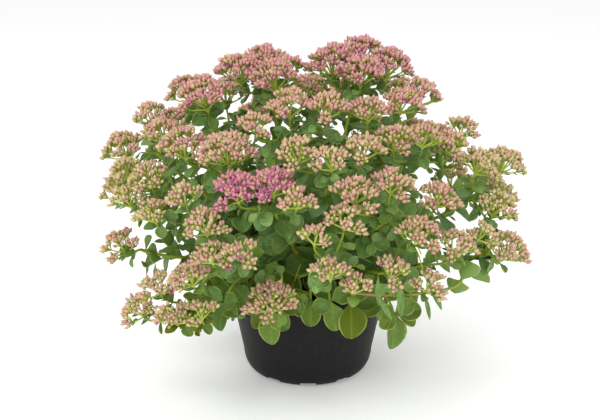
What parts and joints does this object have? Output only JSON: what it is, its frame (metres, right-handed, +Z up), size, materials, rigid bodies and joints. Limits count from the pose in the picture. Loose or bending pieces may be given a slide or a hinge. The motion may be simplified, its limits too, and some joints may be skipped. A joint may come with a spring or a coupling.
{
  "type": "potted sedum",
  "caption": "Mound-forming stonecrop in flower in a plain round nursery pot: fleshy rounded leaves on spreading stems, domed heads of pink star flowers and buds.",
  "frame": {"origin": "on the pot's axis, at the level of its feet", "axes": "+Z up along the pot's axis, -Y towards the front of the plant, +X to its right as seen from the front"},
  "size_m": [0.4282, 0.4253, 0.3527],
  "materials": {
    "pot_plastic": "matte moulded black plastic with a fine texture",
    "potting_mix": "dark crumbly peat and bark with white grains",
    "crown_bark": "rough brown bark",
    "stem_and_leaf": "fleshy grey-green leaves with a waxy bloom and pale edges, yellow-green stems",
    "flower": "satin buds in cream, peach and rose on green stalks, open petals bright pink"
  },
  "bodies": {
    "root": {"pot": "pot_plastic", "potting_mix": "potting_mix", "crown": "crown_bark", "stem_01": "stem_and_leaf", "stem_02": "stem_and_leaf", "stem_03": "stem_and_leaf", "stem_04": "stem_and_leaf", "stem_05": "stem_and_leaf", "stem_06": "stem_and_leaf", "stem_07": "stem_and_leaf", "stem_08": "stem_and_leaf", "stem_09": "stem_and_leaf", "stem_10": "stem_and_leaf", "stem_11": "stem_and_leaf", "stem_12": "stem_and_leaf", "stem_13": "stem_and_leaf", "stem_14": "stem_and_leaf", "stem_15": "stem_and_leaf", "stem_16": "stem_and_leaf", "stem_17": "stem_and_leaf", "stem_18": "stem_and_leaf", "stem_19": "stem_and_leaf", "stem_20": "stem_and_leaf", "stem_21": "stem_and_leaf", "stem_22": "stem_and_leaf", "stem_23": "stem_and_leaf", "stem_24": "stem_and_leaf", "stem_25": "stem_and_leaf", "stem_26": "stem_and_leaf", "stem_27": "stem_and_leaf", "stem_28": "stem_and_leaf", "flower_head_01": "flower", "flower_head_02": "flower", "flower_head_03": "flower", "flower_head_04": "flower", "flower_head_05": "flower", "flower_head_06": "flower", "flower_head_07": "flower", "flower_head_08": "flower", "flower_head_09": "flower", "flower_head_10": "flower", "flower_head_11": "flower", "flower_head_12": "flower", "flower_head_13": "flower", "flower_head_14": "flower", "flower_head_15": "flower", "flower_head_16": "flower", "flower_head_17": "flower", "flower_head_18": "flower", "flower_head_19": "flower", "flower_head_20": "flower", "flower_head_21": "flower", "flower_head_22": "flower", "flower_head_23": "flower", "flower_head_24": "flower", "flower_head_25": "flower", "flower_head_26": "flower", "flower_head_27": "flower", "flower_head_28": "flower"}
  },
  "joints": []
}
